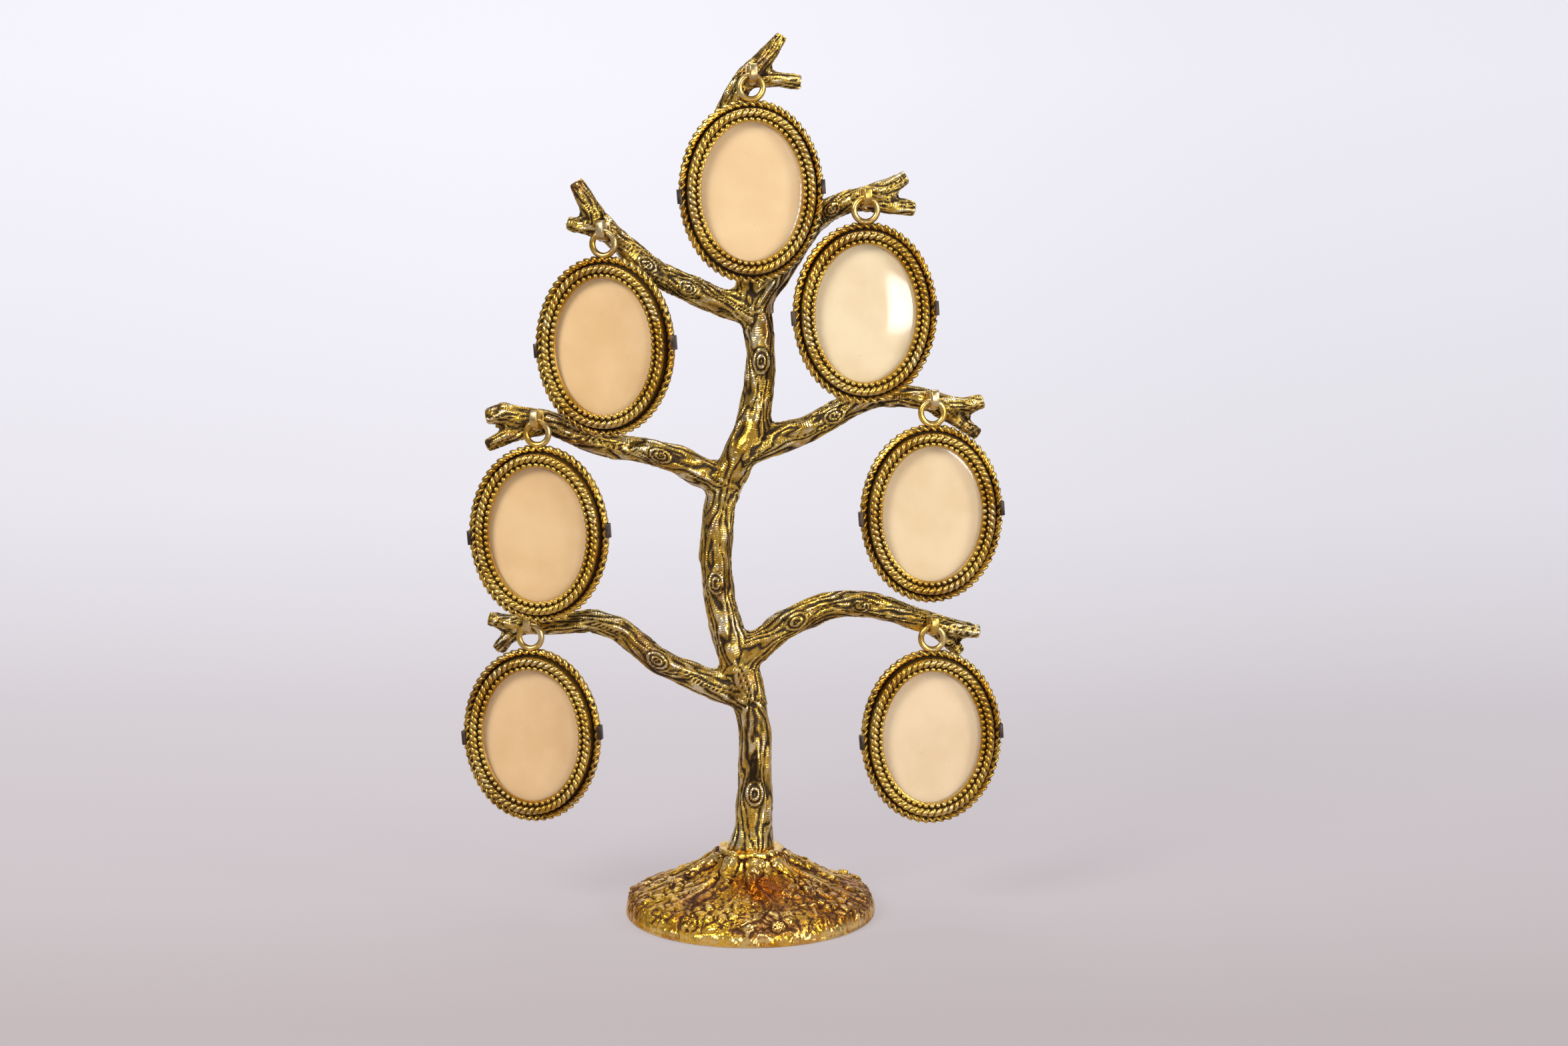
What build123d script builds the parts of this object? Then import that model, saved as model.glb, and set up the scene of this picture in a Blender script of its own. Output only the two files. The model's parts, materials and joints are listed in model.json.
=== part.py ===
from build123d import *
from math import atan, cos, degrees, pi, radians, sin, sqrt
import os

# Photo tree stand: a cast tree on a round base of roots. Seven oval hanging frames swing from
# strip hooks on its branches. The origin is the centre of the base's underside, +Z is up and the
# frames face -Y. All lengths are millimetres.

# Overall sizes
tree_height = 265.0  # table to the tip of the highest twig
tree_reach = 80.0  # trunk axis to the furthest twig tip, sideways
crown_depth = 8.0  # how far the branches come forward to carry the frames
limb_radius = 3.4  # a branch at its hook
limb_sides = 9  # the bark's flats round a limb
foot_radius = 7.3  # the trunk's foot, on the collar

# Base casting
base_radius = 38.0
rim_height = 2.6
mound_height = 18.0  # where the mound meets the collar
collar_radius = 9.2
collar_height = 20.5
recess_radius = 31.0
recess_depth = 3.0
rim_round = 0.6
root_radius = 2.5  # a root where it leaves the collar
root_sink_share = 0.35  # of the root's radius, its axis below the mound's surface
root_taper_share = 0.5  # of the root's radius, lost by its end
root_sides = 6

# Screw joint between base and trunk
spigot_radius = 5.0
spigot_length = 8.0
socket_clearance = 0.1
screw_radius = 2.0
screw_clearance = 0.05
screw_length = 15.0
screw_head_radius = 4.2
screw_head_height = 2.4
screw_slot_width = 1.0
screw_slot_depth = 1.1
hole_spare = 2.0  # each blind hole is this much deeper than what it takes
socket_spare = 0.8

# Strip hooks
strip_width = 2.2
strip_thickness = 1.3
bend_sides = 6
crook_radius = 1.9  # inside of the bend that the eye hangs in
wire_gap = 0.37  # under the eye's top wire, whose ends droop at the strip's edges
rear_leg = 3.0  # above the eye's wire
front_leg = 3.6
tip_lean = 0.6
seat_depth = 2.2  # the flat on a branch, in front of the branch's axis
seat_margin = 0.5  # the flat is this much wider than the strip, on each side
hook_turn = 10.0  # degrees that a hook turns outwards from its frame

# Hanging frames
frame_width = 42.5
frame_height = 53.0
oval_sides = 24
frame_drop = 33.3  # eye's top wire to the frame's centre
eye_radius = 3.4  # to the middle of the wire
eye_wire_radius = 0.9
eye_sides = 10
eye_bevel = 0.5
flange_back = 1.55  # the flange's rear face, behind the eye
rope_inset = 0.6  # the outer rope's rounding
rope_height = 2.0
rope_width = 1.7
groove_width = 0.9
groove_floor = 1.2
dome_lean = 0.5
dome_height = 4.0
crest_height = 5.1
crest_lean = 0.6
crest_width = 0.7
opening_inset = 6.1  # outer edge to the opening's edge
opening_height = 3.1
rebate_inset = 4.0
rebate_depth = 2.3
pane_clearance = 0.2
window_thickness = 1.2
window_crown = 0.6
crown_run = 3.0  # how far the crown's slope runs in
card_thickness = 0.6
plate_thickness = 0.4
plate_inset = 2.2
plateau_inset = 4.6  # the pressed middle of the back plate, which bears on the card
tab_width = 4.2
tab_gap = 0.15
tab_lip = 1.3
tab_turn = 4.0  # degrees that the back plate sits turned in its bezel

# Knots on the bark
knot_sides = 8
knot_rise = 0.7
knot_lean = 0.5
knot_hollow_share = 0.45
knot_depth = 0.9
knot_seat_share = 0.97  # of the limb's radius

overrun = 1.0  # cuts run this far past the faces that they open

# The hooks: the eye's wire as shares of tree_reach, crown_depth and tree_height, the turn of the
# frame in degrees (positive faces right), and how far the branch's axis is from the wire in height
# as a share of limb_radius
hook_shares = {
    "top": (0.009, 1.25, 0.951, 6.0, 0.0),
    "left_upper": (-0.530, 1.38, 0.781, -13.0, -0.3),
    "right_upper": (0.424, 1.56, 0.818, 5.0, 0.0),
    "left_middle": (-0.780, 1.38, 0.572, -9.0, 0.0),
    "left_lower": (-0.822, 0.69, 0.339, -9.0, -0.05),
    "right_middle": (0.673, 1.38, 0.595, 5.0, 0.0),
    "right_lower": (0.680, 1.12, 0.340, 5.0, 0.15),
}

# Limbs: shares of tree_reach, crown_depth (forward), tree_height and limb_radius at each station.
# A station that reads "seat" is the hook's seat, and what follows it is the longer twig. The trunk
# starts at its foot and runs on to the top hook, and each branch starts inside it.
trunk_shares = [
    "foot",
    (0.014, 0.0, 0.105, 1.72),
    (0.018, 0.0, 0.145, 1.58),
    (0.018, 0.0, 0.215, 1.48),
    (-0.015, 0.0, 0.268, 1.62),
    (-0.075, 0.0, 0.317, 1.60),
    (-0.117, 0.0, 0.366, 1.40),
    (-0.130, 0.0, 0.419, 1.44),
    (-0.115, 0.0, 0.474, 1.44),
    (-0.060, 0.0, 0.517, 1.56),
    (0.008, 0.0, 0.560, 1.60),
    (0.032, 0.0, 0.606, 1.36),
    (0.043, 0.0, 0.645, 1.34),
    (0.028, 0.0, 0.688, 1.48),
    (0.010, 0.04, 0.724, 1.50),
    (-0.005, 0.08, 0.758, 1.24),
    (-0.035, 0.14, 0.800, 1.12),
    (-0.082, 0.25, 0.856, 1.08),
    (-0.085, 0.42, 0.912, 1.04),
    "seat",
    (0.045, 0.66, 0.966, 0.86),
    (0.092, 0.66, 0.983, 0.70),
    (0.120, 0.62, 0.9955, 0.60),
]
branch_shares = {
    "left_upper": [
        (0.012, 0.0, 0.690, 1.10),
        (-0.080, 0.10, 0.700, 1.34),
        (-0.160, 0.22, 0.710, 1.22),
        (-0.250, 0.38, 0.722, 1.18),
        (-0.335, 0.55, 0.735, 1.12),
        (-0.425, 0.70, 0.757, 1.04),
        "seat",
        (-0.556, 0.88, 0.796, 0.92),
        (-0.600, 0.90, 0.818, 0.80),
        (-0.634, 0.86, 0.836, 0.66),
    ],
    "right_upper": [
        (0.016, 0.0, 0.696, 1.10),
        (0.088, 0.10, 0.728, 1.30),
        (0.160, 0.15, 0.762, 1.14),
        (0.228, 0.19, 0.790, 1.10),
        (0.285, 0.32, 0.804, 1.07),
        (0.350, 0.68, 0.813, 1.04),
        "seat",
        (0.450, 0.98, 0.822, 0.92),
        (0.512, 0.96, 0.831, 0.76),
        (0.575, 0.90, 0.842, 0.62),
    ],
    "left_middle": [
        (-0.070, 0.0, 0.499, 1.15),
        (-0.185, 0.05, 0.511, 1.44),
        (-0.275, 0.10, 0.528, 1.28),
        (-0.390, 0.15, 0.537, 1.16),
        (-0.510, 0.22, 0.541, 1.12),
        (-0.600, 0.34, 0.549, 1.08),
        (-0.680, 0.56, 0.561, 1.02),
        "seat",
        (-0.855, 0.72, 0.576, 0.96),
        (-0.915, 0.66, 0.581, 0.90),
        (-0.975, 0.58, 0.576, 0.70),
    ],
    "left_lower": [
        (0.000, 0.0, 0.250, 1.15),
        (-0.110, 0.0, 0.263, 1.36),
        (-0.220, 0.0, 0.278, 1.24),
        (-0.335, 0.0, 0.293, 1.18),
        (-0.420, 0.02, 0.313, 1.14),
        (-0.500, 0.04, 0.333, 1.10),
        (-0.590, 0.06, 0.342, 1.06),
        (-0.690, 0.08, 0.339, 1.02),
        "seat",
        (-0.880, 0.06, 0.337, 0.86),
        (-0.935, 0.02, 0.341, 0.72),
        (-0.985, -0.04, 0.345, 0.62),
    ],
    "right_middle": [
        (-0.015, 0.0, 0.533, 1.15),
        (0.110, 0.05, 0.549, 1.42),
        (0.210, 0.12, 0.560, 1.26),
        (0.300, 0.20, 0.574, 1.20),
        (0.385, 0.30, 0.590, 1.12),
        (0.470, 0.44, 0.599, 1.06),
        (0.560, 0.60, 0.600, 1.02),
        "seat",
        (0.740, 0.74, 0.588, 0.92),
        (0.805, 0.70, 0.588, 0.78),
        (0.865, 0.64, 0.594, 0.70),
    ],
    "right_lower": [
        (-0.060, 0.0, 0.292, 1.15),
        (0.035, 0.02, 0.313, 1.44),
        (0.115, 0.05, 0.335, 1.38),
        (0.200, 0.10, 0.348, 1.34),
        (0.285, 0.15, 0.359, 1.28),
        (0.370, 0.20, 0.363, 1.22),
        (0.460, 0.27, 0.361, 1.18),
        (0.560, 0.38, 0.353, 1.08),
        "seat",
        (0.735, 0.52, 0.337, 0.90),
        (0.800, 0.48, 0.334, 0.76),
        (0.862, 0.42, 0.331, 0.62),
    ],
}
twig_shares = {
    "top": [(-0.010, 0.60, 0.950, 0.90), (0.080, 0.58, 0.948, 0.70), (0.190, 0.52, 0.9445, 0.62)],
    "left_upper": [(-0.510, 0.82, 0.780, 0.90), (-0.585, 0.84, 0.786, 0.76), (-0.665, 0.76, 0.791, 0.66)],
    "right_upper": [(0.400, 0.96, 0.816, 0.90), (0.500, 0.92, 0.811, 0.78), (0.607, 0.82, 0.806, 0.66)],
    "left_middle": [(-0.770, 0.76, 0.567, 0.90), (-0.870, 0.66, 0.558, 0.76), (-0.975, 0.52, 0.542, 0.60)],
    "left_lower": [(-0.855, 0.02, 0.338, 0.84), (-0.915, -0.10, 0.322, 0.68), (-0.955, -0.20, 0.307, 0.60)],
    "right_middle": [(0.690, 0.70, 0.588, 0.90), (0.770, 0.60, 0.573, 0.72), (0.848, 0.48, 0.555, 0.60)],
    "right_lower": [(0.690, 0.46, 0.338, 0.90), (0.745, 0.34, 0.322, 0.70), (0.790, 0.22, 0.306, 0.58)],
}

# Knots: the limb, how many stations along it, how far across it as a share of its radius, and size
# as a share of limb_radius
knot_shares = [
    ("trunk", 2.0, -0.05, 0.74),
    ("trunk", 6.4, -0.10, 0.66),
    ("trunk", 11.8, 0.05, 0.70),
    ("left_lower", 3.2, 0.10, 0.62),
    ("left_middle", 2.5, 0.25, 0.62),
    ("left_upper", 4.5, -0.10, 0.60),
    ("left_upper", 2.8, 0.05, 0.56),
    ("right_upper", 4.4, 0.05, 0.56),
    ("right_middle", 3.2, 0.05, 0.62),
    ("right_lower", 2.7, 0.05, 0.72),
    ("right_lower", 5.5, -0.15, 0.50),
]

# Mound: corners of its side view, as shares of the way in from rim to collar and of the rise
mound_shares = [(0.06, 0.24), (0.50, 0.54), (0.88, 0.84)]

# Roots: how far round the base each starts, in turns, its sideways bends as shares of a step
# between roots, and its length as a share of the way to the rim
root_shares = [
    (0.00, 0.10, -0.15, 0.96),
    (0.11, -0.12, 0.20, 0.90),
    (0.22, 0.15, 0.05, 0.97),
    (0.33, -0.10, -0.20, 0.92),
    (0.45, 0.12, 0.18, 0.95),
    (0.55, -0.15, 0.10, 0.90),
    (0.66, 0.14, -0.12, 0.96),
    (0.77, -0.10, 0.22, 0.93),
    (0.88, 0.16, -0.10, 0.95),
]
root_way_shares = (0.0, 0.40, 0.75, 1.0)  # where a root's stations lie along its length


def tree_point(x_share, forward_share, z_share):
    """A point of the tree, from its shares."""
    return Vector(x_share * tree_reach, -forward_share * crown_depth, z_share * tree_height)


def facing_plane(origin, turn):
    """An upright plane that faces the viewer, turned about Z: X to the right, Y up, Z forward."""
    turn = radians(turn)
    return Plane(origin=origin, x_dir=(cos(turn), sin(turn), 0), z_dir=(sin(turn), -cos(turn), 0))


# Where each frame hangs, and where its hook sits on the branch
hang_planes = {}
hook_planes = {}
seats = {}
for name, (x_share, forward_share, z_share, turn, rise_share) in hook_shares.items():
    pivot = tree_point(x_share, forward_share, z_share)
    outwards = 1 if turn > 0 else -1
    hook_plane = facing_plane(pivot, turn + outwards * hook_turn)
    to_axis = crook_radius + strip_thickness + seat_depth
    hang_planes[name] = facing_plane(pivot, turn)
    hook_planes[name] = hook_plane
    seats[name] = pivot - hook_plane.z_dir * to_axis + Vector(0, 0, rise_share * limb_radius)


def limb(stations, sides=limb_sides, back=Vector(0, 1, 0)):
    """A limb with flats, lofted through points with radii. It joins nothing yet."""
    sections = []
    for index, (point, radius) in enumerate(stations):
        before = stations[max(index - 1, 0)][0]
        after = stations[min(index + 1, len(stations) - 1)][0]
        along = (after - before).normalized()
        side = back - along * along.dot(back)
        with BuildSketch(Plane(origin=point, x_dir=side, z_dir=along)) as section:
            RegularPolygon(radius, sides)
        sections.append(section.sketch)
    return loft(sections, ruled=True, mode=Mode.PRIVATE)


def stations_of(shares, seat=None):
    """Turns a limb's table of shares into points with radii."""
    stations = []
    for entry in shares:
        if entry == "seat":
            stations.append((seat, limb_radius))
        elif entry == "foot":
            stations.append((Vector(0, 0, collar_height - overrun), foot_radius))
        else:
            x_share, forward_share, z_share, radius_share = entry
            point = tree_point(x_share, forward_share, z_share)
            stations.append((point, radius_share * limb_radius))
    return stations


def knot_plane(stations, way, across_share):
    """The plane of a knot's foot, on the front of a limb, and X along the world's X."""
    index = min(int(way), len(stations) - 2)
    (start, start_radius), (end, end_radius) = stations[index : index + 2]
    part_way = way - index
    centre = start + (end - start) * part_way
    radius = start_radius + (end_radius - start_radius) * part_way
    across = (end - start).normalized().cross(Vector(0, -1, 0))
    front = knot_seat_share * radius * sqrt(1 - across_share**2)
    face = centre + across * across_share * radius + Vector(0, -front, 0)
    return Plane(origin=face, x_dir=(1, 0, 0), z_dir=(0, -1, 0))


# Base: a low mound of roots with a smooth rim, a collar for the trunk and a recess underneath
slope = base_radius - collar_radius
rise = mound_height - rim_height
mound = [(base_radius, rim_height)]
for in_share, up_share in mound_shares:
    mound.append((base_radius - in_share * slope, rim_height + up_share * rise))
mound.append((collar_radius, mound_height))


def mound_surface(radius):
    """The height of the mound at a distance from the axis."""
    for (outer, low), (inner, high) in zip(mound, mound[1:]):
        if inner <= radius <= outer:
            return low + (high - low) * (outer - radius) / (outer - inner)


socket_floor = collar_height - spigot_length - socket_spare
with BuildPart() as base:
    rim_inside = base_radius - rim_round
    with BuildSketch(Plane.XZ):
        with BuildLine():
            Polyline(
                (0, 0),
                (rim_inside, 0),
                (base_radius, rim_round),
                *mound,
                (collar_radius, collar_height),
                (0, collar_height),
                close=True,
            )
        make_face()
    revolve(axis=Axis.Z)
    step = 2 * pi / len(root_shares)
    roots = []
    for turn_share, first_share, second_share, length_share in root_shares:
        bend_shares = (0, first_share, second_share, 0)
        root = []
        for way_share, bend_share in zip(root_way_shares, bend_shares):
            angle = 2 * pi * turn_share + bend_share * step
            radius = collar_radius + way_share * length_share * (slope - root_radius)
            height = mound_surface(radius) - root_sink_share * root_radius
            size = root_radius * (1 - root_taper_share * way_share)
            root.append((Vector(radius * cos(angle), radius * sin(angle), height), size))
        roots.append(limb(root, root_sides, back=Vector(0, 0, 1)))
    add(roots)
    with BuildSketch(Plane.XY):
        Circle(recess_radius)
    extrude(amount=recess_depth, mode=Mode.SUBTRACT)
    with BuildSketch(Plane.XY.offset(socket_floor)):
        Circle(spigot_radius + socket_clearance)
    extrude(amount=collar_height - socket_floor + overrun, mode=Mode.SUBTRACT)
    with BuildSketch(Plane.XY):
        Circle(screw_radius + screw_clearance)
    extrude(amount=collar_height, mode=Mode.SUBTRACT)
base.part.label = "base"

# Screw: its head bears on the recess's ceiling, and its shank runs up into the trunk's spigot
with BuildPart() as screw:
    with BuildSketch(Plane.XY.offset(recess_depth)):
        Circle(screw_head_radius)
    extrude(amount=-screw_head_height)
    with BuildSketch(Plane.XY.offset(recess_depth)):
        Circle(screw_radius)
    extrude(amount=screw_length)
    with BuildSketch(Plane.XY.offset(recess_depth - screw_head_height)):
        Rectangle(2 * screw_head_radius + overrun, screw_slot_width)
    extrude(amount=screw_slot_depth, mode=Mode.SUBTRACT)
screw.part.label = "base_screw"

# Knots: low bosses on the bark, each with a hollow in the middle
limbs = {"trunk": stations_of(trunk_shares, seats["top"])}
for name, shares in branch_shares.items():
    limbs[name] = stations_of(shares, seats[name])
barks = []
for name, way, across_share, size_share in knot_shares:
    barks.append((knot_plane(limbs[name], way, across_share), size_share * limb_radius))
with BuildPart() as knots:
    for bark, size in barks:
        with BuildSketch(bark):
            RegularPolygon(size, knot_sides)
        extrude(amount=knot_rise, taper=degrees(atan(knot_lean / knot_rise)))
        with BuildSketch(bark):
            RegularPolygon(size, knot_sides)
        extrude(amount=-limb_radius)
with BuildPart() as hollows:
    for bark, size in barks:
        with BuildSketch(bark.offset(knot_rise)):
            RegularPolygon(knot_hollow_share * size, knot_sides)
        extrude(amount=-knot_depth)

# Tree: trunk, seven branches with two twigs each, flats for the hooks and a spigot for the base
with BuildPart() as tree:
    add([limb(stations) for stations in limbs.values()])
    add([limb(stations_of(shares)) for shares in twig_shares.values()])
    add(knots.part)
    add(hollows.part, mode=Mode.SUBTRACT)
    with BuildSketch(*[plane.offset(-crook_radius - strip_thickness) for plane in hook_planes.values()]):
        Rectangle(strip_width + 2 * seat_margin, 4 * limb_radius)
    extrude(amount=2 * limb_radius, mode=Mode.SUBTRACT)
    with BuildSketch(Plane.XY.offset(collar_height)):
        Circle(collar_radius)
    extrude(amount=-limb_radius, mode=Mode.SUBTRACT)
    spigot_bottom = collar_height - spigot_length
    with BuildSketch(Plane.XY.offset(spigot_bottom)):
        Circle(spigot_radius)
    extrude(amount=spigot_length + overrun)
    screw_top = recess_depth + screw_length
    with BuildSketch(Plane.XY.offset(spigot_bottom)):
        Circle(screw_radius + screw_clearance)
    extrude(amount=screw_top - spigot_bottom + hole_spare, mode=Mode.SUBTRACT)
tree.part.label = "tree"

# Hook: a flat strip bent into a U. Its rear leg sits on the branch's flat, and its front leg
# stands in front of the eye. The side view has X forward of the eye's wire and Y up.
with BuildPart() as hook:
    bend = crook_radius - eye_wire_radius - wire_gap  # the bend's centre, above the eye's wire
    outer = crook_radius + strip_thickness
    tip_front = outer - tip_lean
    tip_back = crook_radius - tip_lean
    tip_middle = (tip_front + tip_back) / 2
    shoulder = front_leg - strip_thickness / 2
    outside = [(-outer, rear_leg)]
    inside = [(-crook_radius, rear_leg)]
    for index in range(bend_sides + 1):
        angle = pi * index / bend_sides
        outside.append((-outer * cos(angle), bend - outer * sin(angle)))
        inside.append((-crook_radius * cos(angle), bend - crook_radius * sin(angle)))
    tip = [(tip_front, shoulder), (tip_middle, front_leg), (tip_back, shoulder)]
    with BuildSketch(Plane(origin=(strip_width / 2, 0, 0), x_dir=(0, 0, 1), z_dir=(-1, 0, 0))):
        Polygon(*outside, *tip, *reversed(inside), align=None)
    extrude(amount=strip_width)
hook.part.label = "hook"


# Hanging frame, drawn once about the middle of its oval: X to the right, Y up, Z forward
def oval(inset):
    """The frame's oval, drawn in by an inset. Its sides are flat, and each stays parallel."""
    points = []
    for index in range(oval_sides):
        lines = []
        for side in (index, index + 1):
            angle = 2 * pi * side / oval_sides
            across = frame_width / 2 * cos(angle)
            up = frame_height / 2 * sin(angle)
            lines.append((cos(angle), sin(angle), sqrt(across**2 + up**2) - inset))
        (a, b, c), (d, e, f) = lines
        spread = a * e - b * d
        points.append(((c * e - b * f) / spread, (a * f - c * d) / spread))
    return points


def slab(inset, height, end_height, end_inset=None, mode=Mode.ADD, turn=0):
    """An oval layer from one height above the flange's rear face to another. It may draw in."""
    lean = 0 if end_inset is None else (end_inset - inset) / abs(end_height - height)
    with BuildSketch(Plane.XY.rotated((0, 0, turn)).offset(height - flange_back)) as layer:
        Polygon(*oval(inset), align=None)
    extrude(layer.sketch, amount=end_height - height, taper=degrees(atan(lean)), mode=mode)


# The eye, a ring of wire with bevelled edges
with BuildPart() as eye:
    with BuildSketch(Plane.XY.offset(-eye_wire_radius)):
        with Locations((0, frame_drop - eye_radius)):
            RegularPolygon(eye_radius + eye_wire_radius, eye_sides, major_radius=False)
            RegularPolygon(
                eye_radius - eye_wire_radius, eye_sides, major_radius=False, mode=Mode.SUBTRACT
            )
    extrude(amount=2 * eye_wire_radius)
    chamfer(eye.faces().filter_by(Axis.Z).edges(), length=eye_bevel)

with BuildPart() as bezel:
    # The flange with its rounded outer rope, and the groove that falls from the rope to the dome
    half_rope = rope_height / 2
    slab(rope_inset, 0, half_rope, 0)
    slab(0, half_rope, rope_height, rope_inset)
    rope_inside = rope_inset + rope_width
    dome_inset = rope_inside + groove_width
    slab(rope_inside, rope_height, groove_floor, dome_inset, mode=Mode.SUBTRACT)
    # The eye's lower edge runs into the rope
    add(eye.part)
    # The dome with the front rope on its crest
    crest_inset = dome_inset + dome_lean
    slab(dome_inset, groove_floor, dome_height, crest_inset)
    slab(crest_inset, dome_height, crest_height, crest_inset + crest_lean)
    # The slope for the beads, the opening and the rebate behind it
    bead_inset = crest_inset + crest_lean + crest_width
    slab(bead_inset, crest_height, opening_height, opening_inset, mode=Mode.SUBTRACT)
    slab(opening_inset, 0, crest_height, mode=Mode.SUBTRACT)
    slab(rebate_inset, 0, rebate_depth, mode=Mode.SUBTRACT)
bezel.part.label = "bezel"

# Window, with a crown that fills the opening
pane_inset = rebate_inset + pane_clearance
window_rear = rebate_depth - window_thickness
with BuildPart() as window:
    slab(pane_inset, window_rear, rebate_depth)
    crown_inset = opening_inset + pane_clearance
    slab(crown_inset, rebate_depth, rebate_depth + window_crown, crown_inset + crown_run)
window.part.label = "window"

# Card that holds the place of a photo
card_rear = window_rear - card_thickness
with BuildPart() as card:
    slab(pane_inset, card_rear, window_rear)
card.part.label = "card"

# Back plate: its pressed middle bears on the card, and two tabs fold round the rope
with BuildPart() as back_plate:
    slab(plate_inset, -plate_thickness, 0, turn=tab_turn)
    slab(plateau_inset, 0, card_rear, turn=tab_turn)
    tab_inside = frame_width / 2 + tab_gap
    tab_outside = tab_inside + plate_thickness
    lip_end = tab_inside - tab_lip
    plate_reach = frame_width / 2 - plate_inset - overrun
    lip_top = rope_height + plate_thickness
    tab_corners = [
        (plate_reach, -plate_thickness),
        (tab_outside, -plate_thickness),
        (tab_outside, lip_top),
        (lip_end, lip_top),
        (lip_end, rope_height),
        (tab_inside, rope_height),
        (tab_inside, 0),
        (plate_reach, 0),
    ]
    for tab_side in (1, -1):
        with BuildSketch(facing_plane((0, 0, -flange_back), tab_turn)):
            Polygon(*[(tab_side * across, height) for across, height in tab_corners], align=None)
        extrude(amount=tab_width / 2, both=True)
back_plate.part.label = "back_plate"


def export_placed(piece, plane, label):
    """Sets a copy of a piece on a plane and writes it under its own name."""
    with BuildPart() as placed:
        with Locations(plane):
            add(piece.part)
    placed.part.label = label
    export_step(placed.part, f"parts/{label}.step")


os.makedirs("parts", exist_ok=True)
export_step(base.part, "parts/base.step")
export_step(screw.part, "parts/base_screw.step")
export_step(tree.part, "parts/tree.step")
for name, hang_plane in hang_planes.items():
    export_placed(hook, hook_planes[name], f"{name}_hook")
    middle = facing_plane(hang_plane.origin - Vector(0, 0, frame_drop), hook_shares[name][3])
    for piece in (bezel, window, card, back_plate):
        export_placed(piece, middle, f"{name}_{piece.part.label}")
    pivot = hang_plane.origin
    axis = -hang_plane.x_dir
    print(f"{name}_swing pivot {pivot.X:.2f} {pivot.Y:.2f} {pivot.Z:.2f} mm", end=" ")
    print(f"axis {axis.X:.4f} {axis.Y:.4f} {axis.Z:.4f}")
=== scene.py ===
# %% [markdown]
# # A photo tree in antique gold
# The stand is a cast metal tree on a round base of roots. Seven oval frames hang from strip hooks.
# The CAD part gives every piece its size and place. This lesson gives them bark, rope edges, beads,
# worn gold, glass and paper. First the imported part is loaded.

# %% Load the imported part
import json
from math import cos, pi, radians, sin, sqrt

import bpy
import numpy as np
from mathutils import Matrix, Vector, noise
from mathutils.bvhtree import BVHTree
from mathutils.kdtree import KDTree


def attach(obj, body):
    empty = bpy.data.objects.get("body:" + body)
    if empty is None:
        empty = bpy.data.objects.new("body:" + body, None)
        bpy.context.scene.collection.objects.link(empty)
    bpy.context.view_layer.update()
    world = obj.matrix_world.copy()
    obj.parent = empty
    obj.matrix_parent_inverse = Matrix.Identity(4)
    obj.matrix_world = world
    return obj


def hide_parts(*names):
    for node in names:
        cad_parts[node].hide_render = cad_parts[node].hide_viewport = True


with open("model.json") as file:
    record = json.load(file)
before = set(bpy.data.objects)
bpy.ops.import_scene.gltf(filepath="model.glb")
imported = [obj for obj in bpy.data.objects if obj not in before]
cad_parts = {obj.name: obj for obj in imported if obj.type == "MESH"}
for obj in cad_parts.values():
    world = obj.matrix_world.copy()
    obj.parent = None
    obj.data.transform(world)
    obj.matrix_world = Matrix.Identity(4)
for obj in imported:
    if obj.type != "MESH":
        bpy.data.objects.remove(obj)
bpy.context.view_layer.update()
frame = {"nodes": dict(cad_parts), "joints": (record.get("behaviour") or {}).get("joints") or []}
mm = 0.001

# %% [markdown]
# ## Camera
# The photograph was taken from the front, a little above the middle of the tree and looking
# slightly down. The base's ellipse gives the tilt, and the depth of the frames gives the distance.

# %% Set the camera
photo_width = 2350
focal_pixels = 3727
tilt_down = 7.3
bpy.ops.object.camera_add(
    location=(10.2 * mm, -740 * mm, 215 * mm), rotation=(radians(90 - tilt_down), 0, 0)
)
camera = bpy.context.object
camera.data.sensor_fit = "HORIZONTAL"
camera.data.sensor_width = 36
camera.data.lens = camera.data.sensor_width * focal_pixels / photo_width
camera.data.clip_start = 0.01
bpy.context.scene.camera = camera
bpy.context.scene.view_settings.view_transform = "Standard"
print("lens:", round(camera.data.lens, 1), "mm")

# %% [markdown]
# ## Shader arithmetic
# A finish is a small network of nodes. Written as sums and products it reads like a formula, so one
# class wraps a socket and adds a Math node for each operator. Any other node comes from one method,
# which sets the node's settings first and then its values or links.


# %% Wrap sockets and nodes
class Wire:
    """An output of a node, which takes part in sums and products."""

    def __init__(self, finish, socket):
        self.finish = finish
        self.socket = socket

    def math(self, operation, first, second):
        return self.finish.node("ShaderNodeMath", {"operation": operation}, {0: first, 1: second})

    def __add__(self, other):
        return self.math("ADD", self, other)

    def __radd__(self, other):
        return self.math("ADD", other, self)

    def __sub__(self, other):
        return self.math("SUBTRACT", self, other)

    def __rsub__(self, other):
        return self.math("SUBTRACT", other, self)

    def __mul__(self, other):
        return self.math("MULTIPLY", self, other)

    def __truediv__(self, other):
        return self.math("DIVIDE", self, other)


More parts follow.
